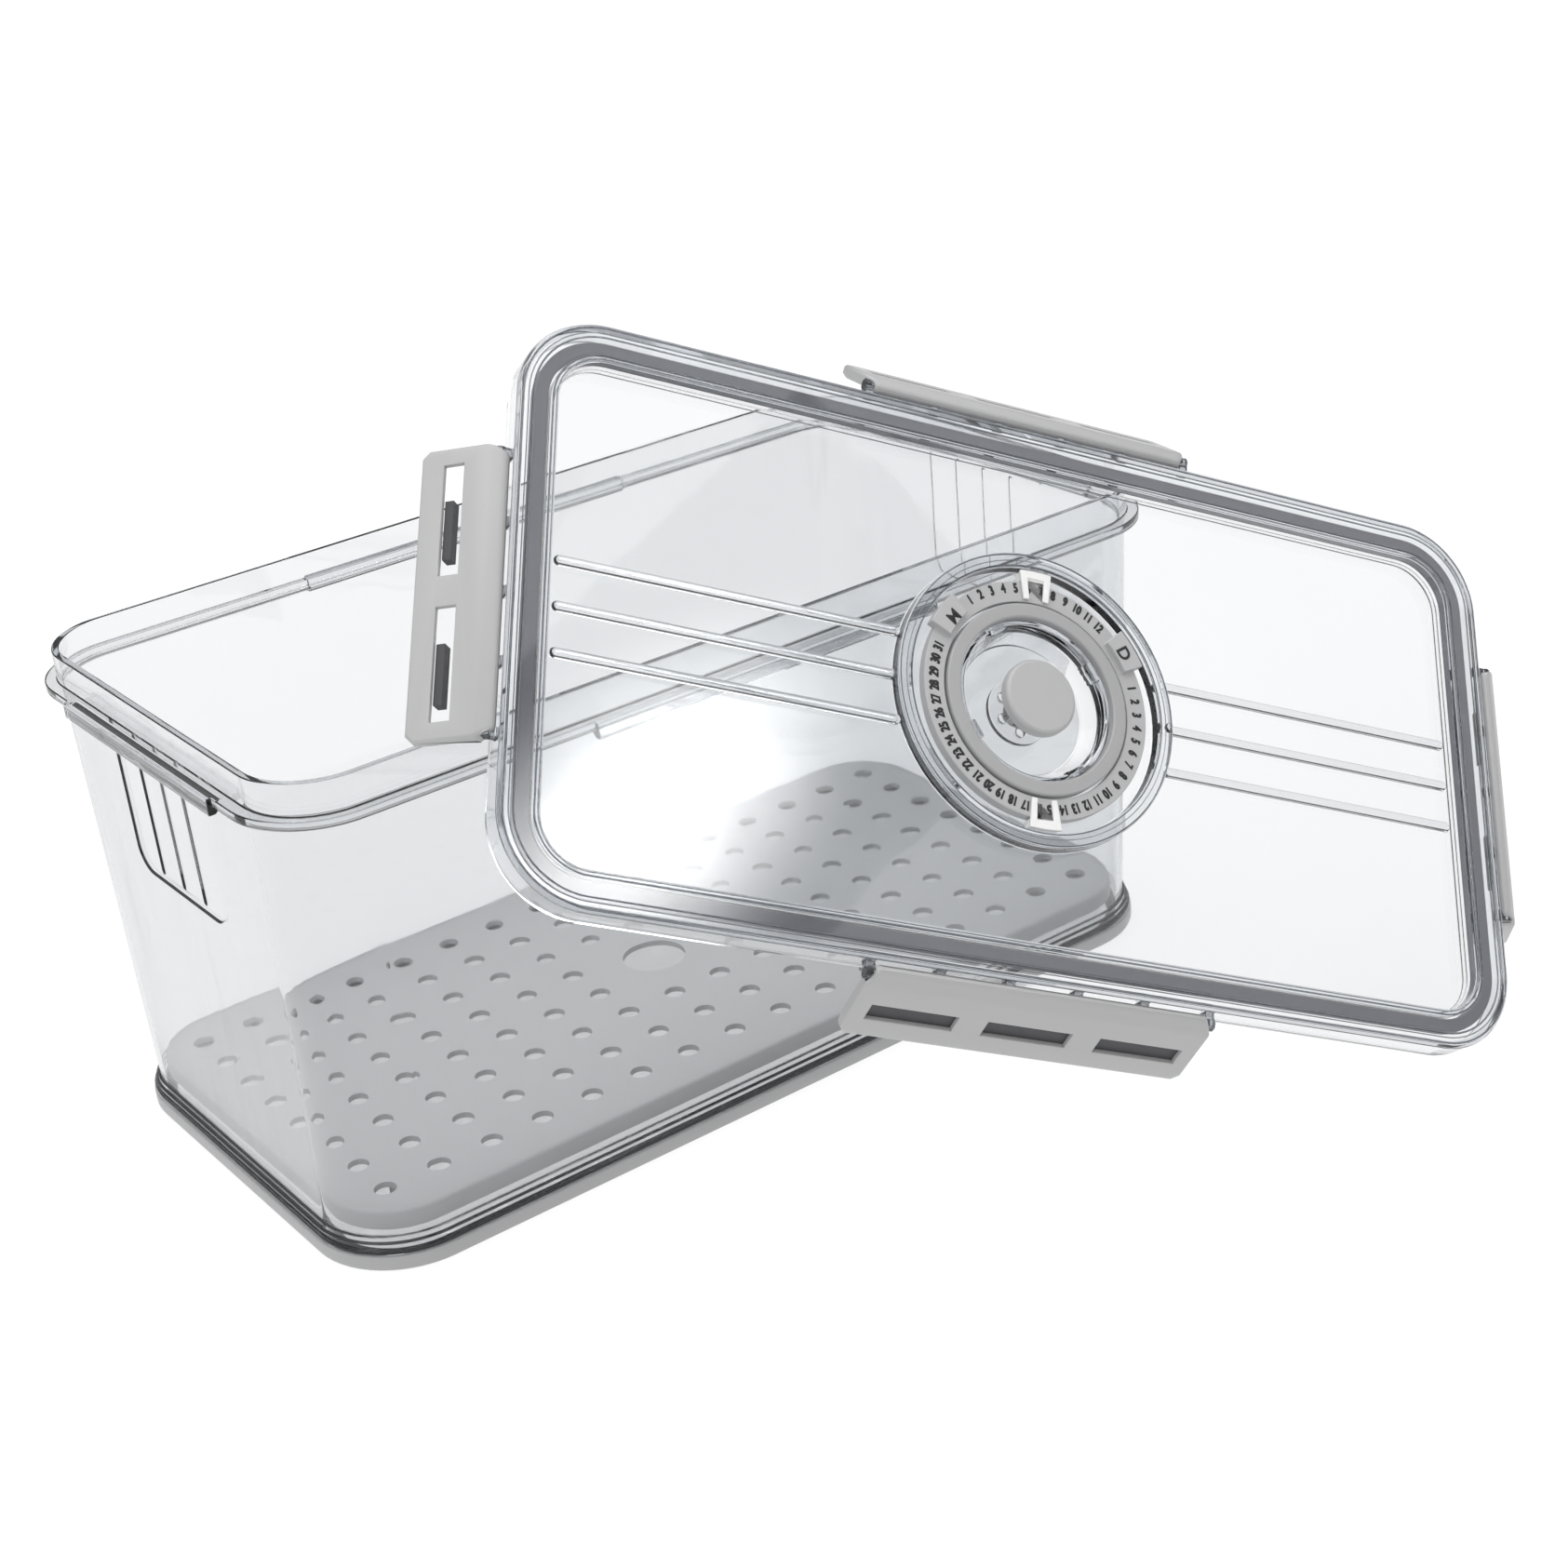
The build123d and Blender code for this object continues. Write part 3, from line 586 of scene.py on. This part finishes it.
window_top, window_bottom, window_back, window_gap, window_margin = 9.4, 15.4, 0.4, 9.5, 5.4
shade_hook_back, shade_hook_front = -2.0, 1.6
past, through = 1, 8
edge_round, edge_steps, window_share, edge_sharp = 0.0011, 4, 0.25, 24


def arc(radius, start, stop, steps):
    """Points on an arc about the rod's middle, in degrees."""
    turns = [math.radians(start + (stop - start) * step / steps) for step in range(steps + 1)]
    return [(radius * math.cos(turn), radius * math.sin(turn)) for turn in turns]


def whole_circle(radius):
    """Points evenly round the rod's middle."""
    return arc(radius, 0, 345, 23)


def prism(outlines, spans, upright=True):
    """Solids with an outline across each span: (x, z) along y, or (y, z) along x."""
    verts, faces = [], []
    for outline, (low, high) in zip(outlines, spans):
        first, count = len(verts), len(outline)
        for along in (low, high):
            verts += [(u / 1000, along / 1000, v / 1000) if upright
                      else (along / 1000, u / 1000, v / 1000) for u, v in outline]
        faces += [tuple(range(first, first + count)),
                  tuple(reversed(range(first + count, first + 2 * count)))]
        faces += [(first + i, first + count + i, first + count + (i + 1) % count,
                   first + (i + 1) % count) for i in range(count)]
    return new_piece("prism", verts, faces)


def end_cutters(half_long):
    """Cutters that slope a latch's band in at both ends and take off its lower corners."""
    upper = [[(end * (half_long - band_taper), band_top), (end * (half_long + past), band_top),
              (end * (half_long + past), -crease_down), (end * half_long, -crease_down)]
             for end in (-1, 1)]
    lower = [[(end * half_long, -free_down + corner_cut),
              (end * (half_long + past), -free_down + corner_cut),
              (end * (half_long + past), -free_down - past),
              (end * (half_long - corner_cut), -free_down - past),
              (end * (half_long - corner_cut), -free_down)] for end in (-1, 1)]
    return prism(upper + lower, [(-through, through)] * 4, upright=False)


def cut_away(piece, tools):
    """Takes tools out of a piece."""
    for tool in tools:
        cut = piece.modifiers.new("cut", "BOOLEAN")
        cut.operation, cut.solver, cut.object = "DIFFERENCE", "EXACT", tool
    make_plain(piece)
    for tool in tools:
        bpy.data.objects.remove(tool)


def soften_outside(piece, half_long):
    """Rounds the edges on a latch's outer side, those of its windows less than the others."""
    work = bmesh.new()
    work.from_mesh(piece.data)
    weights = work.edges.layers.float.new("bevel_weight_edge")
    for edge in work.edges:
        spots = [vert.co * 1000 for vert in edge.verts]
        outer = all((at.x > face_out - skin + 0.1 or at.z > -crease_down - 0.1)
                    and math.hypot(at.x, at.z) > wrap - 0.1 for at in spots)
        by_window = all(-window_bottom - 0.4 < at.z < -window_top + 0.4
                        and abs(at.y) < half_long - 4 for at in spots)
        if outer and edge.calc_face_angle(0.0) > math.radians(edge_sharp):
            edge[weights] = window_share if by_window else 1.0
    work.to_mesh(piece.data)
    work.free()
    bevel = piece.modifiers.new("rounded edges", "BEVEL")
    bevel.width, bevel.segments, bevel.limit_method = edge_round, edge_steps, "WEIGHT"
    bevel.use_clamp_overlap = False
    make_plain(piece)
    shade(piece.data, sharp=35)


for side, turned, half, half_long, lugs, windows, lug_reach, opened in (
        ("front", -90, lid_y, 57.2, 6, 3, 56.5, 26.0),
        ("back", 90, lid_y, 57.2, 6, 3, 56.5, 37.0),
        ("left", 180, lid_x, 44.6, 5, 2, 42.5, 47.0),
        ("right", 0, lid_x, 44.6, 5, 2, 42.5, 31.0)):
    shell = prism([[(face_out, -crease_down), (face_out, -free_down)] + back_edge +
                   arc(wrap, wrap_from, wrap_to, 16)], [(-half_long, half_long)])
    hollow_front, hollow_low = face_out - skin, -free_down + skin
    hollow = prism([[(hollow_front, hollow_top), (hollow_front, hollow_low),
                     (hollow_back, hollow_low), (hollow_back, hollow_top)]],
                   [(-half_long + skin, half_long - skin)])
    room = 2 * half_long - 2 * window_margin
    window = (room - (windows - 1) * window_gap) / windows
    middles = [-room / 2 + window / 2 + k * (window + window_gap) for k in range(windows)]
    slots = prism([[(window_back, -window_top), (through, -window_top),
                    (through, -window_bottom), (window_back, -window_bottom)]] * windows,
                  [(y - window / 2, y + window / 2) for y in middles])
    channel = prism([arc(bore, mouth_to - 360, mouth_from, 24) +
                     arc(mouth, mouth_from, mouth_to, 4)], [(-half_long - past, half_long + past)])
    places = [-lug_reach + 2 * lug_reach * k / (lugs - 1) for k in range(lugs)]
    notches = prism([whole_circle(notch_radius)] * lugs,
                    [(y - notch_half, y + notch_half) for y in places])
    cut_away(shell, [end_cutters(half_long), hollow, slots, channel, notches])
    soften_outside(shell, half_long)
    # On the front latch the dark bars fill the windows, painted shade only; on the others they are
    # hook bars in painted shade.
    if side == "front":
        shade_hook_low, shade_hook_high, shade_hook_half, shade_hook_shift = -16.4, -8.6, window / 2 + 0.8, 0.0
    else:
        shade_hook_low, shade_hook_high, shade_hook_half, shade_hook_shift = -15.2, -12.6, window / 4 + 0.5, 2.5
    shade_hooks = prism([[(shade_hook_back, shade_hook_low), (shade_hook_back, shade_hook_high),
                    (shade_hook_front, shade_hook_high), (shade_hook_front, shade_hook_low)]] * windows,
                  [(y - shade_hook_half + shade_hook_shift, y + shade_hook_half + shade_hook_shift) for y in middles])
    rod = prism([whole_circle(rod_radius)] +
                [[(lug_back, lug_low), (lug_back, lug_high),
                  (lug_front, lug_high), (lug_front, lug_low)]] * lugs,
                [(-lug_reach - rod_past_lugs, lug_reach + rod_past_lugs)] +
                [(y - lug_half, y + lug_half) for y in places])
    rod.name = "rod_" + side
    hinge = lid_place @ Matrix.Rotation(math.radians(turned), 4, "Z") @ Matrix.Translation(
        ((half + rod_out) / 1000, 0, -rod_down / 1000))
    rod.data.transform(hinge)
    fit(rod, "lid", rod_shade_clear, "clear_plastic")
    swing = hinge @ Matrix.Rotation(-math.radians(opened), 4, "Y")
    for piece, name, finish in ((shell, "latch_piece_", latch_grey),
                                (shade_hooks, "latch_shade_hooks_", painted_shade_hook)):
        piece.name = name + side
        piece.data.transform(swing)
        stands_for = ["latch_" + side] if piece is shell else []
        fit(piece, "latch_" + side, finish, "grey_plastic", *stands_for)

# ---- Date dial ----
# A grey printed ring with two raised pads, an inner grey ring, and two white U pointers that
# slide round it. Satin plastic; the numbers and the pads' letters are printed in black.
dial_grey = solid_plastic("dial plastic", (0.45, 0.45, 0.455), roughness=0.4, grain=0.08,
                          coat=0.1)
bezel_grey = solid_plastic("inner ring plastic", (0.37, 0.37, 0.375), roughness=0.35, grain=0.08,
                           coat=0.2)
pointer_white = solid_plastic("white plastic", (0.86, 0.86, 0.855), roughness=0.35, grain=0.08,
                              coat=0.15)
print_black = solid_plastic("black print", (0.012, 0.012, 0.013), roughness=0.5, grain=0.05,
                            clouding=0.2)
scale = smooth_copy("dial_scale", "dial_ring", edge=0.00025)
fit(scale, "lid", dial_grey, "dial_grey", "dial_scale")
bezel = smooth_copy("dial_bezel", "dial_inner_ring", edge=0.0002)
fit(bezel, "lid", bezel_grey, "grey_plastic", "dial_bezel")
# Three dense dark beads round the dial are painted shade: dark lines like those along the lid's
# frame, no parts of the dial.
dial_bead_sizes, dial_bead_z = ((46.9, 0.22), (44.9, 0.15), (43.3, 0.25)), -1.0
dial_shade_beads = join("dial_shade_beads", [
    bead("dial_bead", radius, radius, radius - 0.01, dial_bead_z, half_width, half_width,
         points=8, steps=24) for radius, half_width in dial_bead_sizes])
shade(dial_shade_beads.data, sharp=40)
dial_shade_beads.data.transform(lid_place)
fit(dial_shade_beads, "lid", painted_line_clear, "clear_plastic")
for name in ("month", "day"):
    piece = smooth_copy(name + "_pointer", name + "_mark", edge=0.0002)
    fit(piece, name, pointer_white, "white_plastic", name + "_pointer")


def numbers_round_a_ring():
    """Geometry tree: the numbers from 1 up, printed round a ring with their tops outwards."""
    tree = bpy.data.node_groups.new("numbers round a ring", "GeometryNodeTree")
    narrow, flattened = (0.72, 1.0, 1.0), (1.0, 1.0, 0.5)
    face = tree.interface
    for name, value in (("Radius", 0.036), ("Size", 0.003), ("First", 2.2), ("Step", -0.12),
                        ("Thickness", 0.00008), ("Bold", 0.00027)):
        face.new_socket(name, in_out="INPUT", socket_type="NodeSocketFloat").default_value = value
    face.new_socket("Count", in_out="INPUT", socket_type="NodeSocketInt").default_value = 12
    face.new_socket("Finish", in_out="INPUT", socket_type="NodeSocketMaterial")
    face.new_socket("Geometry", in_out="OUTPUT", socket_type="NodeSocketGeometry")
    given = node(tree, "NodeGroupInput").outputs
    start = tree.nodes.new("GeometryNodeRepeatInput")
    end = tree.nodes.new("GeometryNodeRepeatOutput")
    start.pair_with_output(end)
    tree.links.new(given["Count"], start.inputs["Iterations"])
    turn = start.outputs["Iteration"]
    number = node(tree, "ShaderNodeMath", [(0, turn), (1, 1.0)], operation="ADD")
    text = node(tree, "FunctionNodeValueToString", [("Value", number.outputs[0])])
    glyphs = node(tree, "GeometryNodeStringToCurves",
                  [("String", text.outputs[0]), ("Size", given["Size"])],
                  align_x="CENTER", align_y="MIDDLE")
    lines = node(tree, "GeometryNodeRealizeInstances", [(0, glyphs.outputs[0])])
    lines = node(tree, "GeometryNodeSetSplineResolution",
                 [("Geometry", lines.outputs[0]), ("Resolution", 3)])
    lines = node(tree, "GeometryNodeTransform",
                 [("Geometry", lines.outputs[0]), ("Scale", narrow)])
    pen = node(tree, "GeometryNodeCurvePrimitiveCircle",
               [("Resolution", 6), ("Radius", given["Bold"])])
    stroke = node(tree, "GeometryNodeCurveToMesh",
                  [("Curve", lines.outputs[0]), ("Profile Curve", pen.outputs[0])])
    stroke = node(tree, "GeometryNodeTransform",
                  [("Geometry", stroke.outputs[0]), ("Scale", flattened)])
    flat = node(tree, "GeometryNodeFillCurve", [("Curve", lines.outputs[0])])
    raised = node(tree, "GeometryNodeExtrudeMesh",
                  [("Mesh", flat.outputs[0]), ("Offset Scale", given["Thickness"]),
                   ("Individual", False)])
    under = node(tree, "GeometryNodeFlipFaces", [("Mesh", flat.outputs[0])])
    solid = node(tree, "GeometryNodeJoinGeometry")
    for part in (under, raised, stroke):
        tree.links.new(part.outputs[0], solid.inputs[0])
    angle = node(tree, "ShaderNodeMath", [(0, turn), (1, given["Step"]), (2, given["First"])],
                 operation="MULTIPLY_ADD")
    upright = node(tree, "ShaderNodeMath", [(0, angle.outputs[0]), (1, math.pi / 2)],
                   operation="SUBTRACT")
    out = node(tree, "ShaderNodeCombineXYZ", [("Y", given["Radius"])])
    spin = node(tree, "ShaderNodeCombineXYZ", [("Z", upright.outputs[0])])
    moved = node(tree, "GeometryNodeTransform",
                 [("Geometry", solid.outputs[0]), ("Translation", out.outputs[0])])
    turned = node(tree, "GeometryNodeTransform",
                  [("Geometry", moved.outputs[0]), ("Rotation", spin.outputs[0])])
    gathered = node(tree, "GeometryNodeJoinGeometry")
    for part in (turned.outputs[0], start.outputs["Geometry"]):
        tree.links.new(part, gathered.inputs[0])
    tree.links.new(gathered.outputs[0], end.inputs["Geometry"])
    end_tree(tree, end.outputs["Geometry"], 1e-7, given["Finish"])
    return tree


ring_tree = numbers_round_a_ring()
scale_face, pad_face, number_size = -2.2 + 0.01, -0.2 + 0.01, 0.0042
for name, count, radius, first, step in (("month_numbers", 12, 36.1, 128.6, -7.0),
                                         ("day_numbers", 31, 35.1, 16.7, -7.157)):
    printed = grown(name, ring_tree, {
        "Radius": radius / 1000, "Size": number_size, "First": math.radians(first),
        "Step": math.radians(step), "Count": count, "Finish": print_black})
    printed.data.transform(lid_place @ Matrix.Translation((0, 0, scale_face / 1000)))
    fit(printed, "lid", print_black, "dial_grey")
letter_size, letter_thickness = 0.0060, 0.00004
for letter, radius, at, bold in (("M", 35.6, 145.0, 0.00004), ("D", 36.2, 34.0, 0.00017)):
    text = bpy.data.curves.new("pad letter", "FONT")
    text.body, text.size, text.extrude, text.offset = letter, letter_size, letter_thickness, bold
    text.align_x, text.align_y, text.resolution_u = "CENTER", "CENTER", 4
    drawn = set_out("drawn_letter", text)
    stamped = set_out("pad_letter_" + letter, plain_mesh(drawn))
    bpy.data.objects.remove(drawn)
    stamped.data.transform(lid_place @ Matrix.Rotation(math.radians(at - 90), 4, "Z") @
                           Matrix.Translation((0, radius / 1000, pad_face / 1000)))
    fit(stamped, "lid", print_black, "dial_grey")

# ---- Vent ----
# A clear cup clipped in the panel's hole, with vent holes in its floor. A satin grey knob on a
# stem pushes the soft clear plug off them.
cup = smooth_copy("vent_cup", "cup", edge=0.0003)
fit(cup, "lid", clear_lid, "clear_plastic", "vent_cup")
knob = smooth_copy("vent_knob", "knob", edge=0.0003)
fit(knob, "vent", dial_grey, "grey_plastic", "vent_knob")
plug = smooth_copy("vent_plug", "plug", edge=0.0003)
fit(plug, "vent", thin_clear, "clear_plastic", "vent_plug")
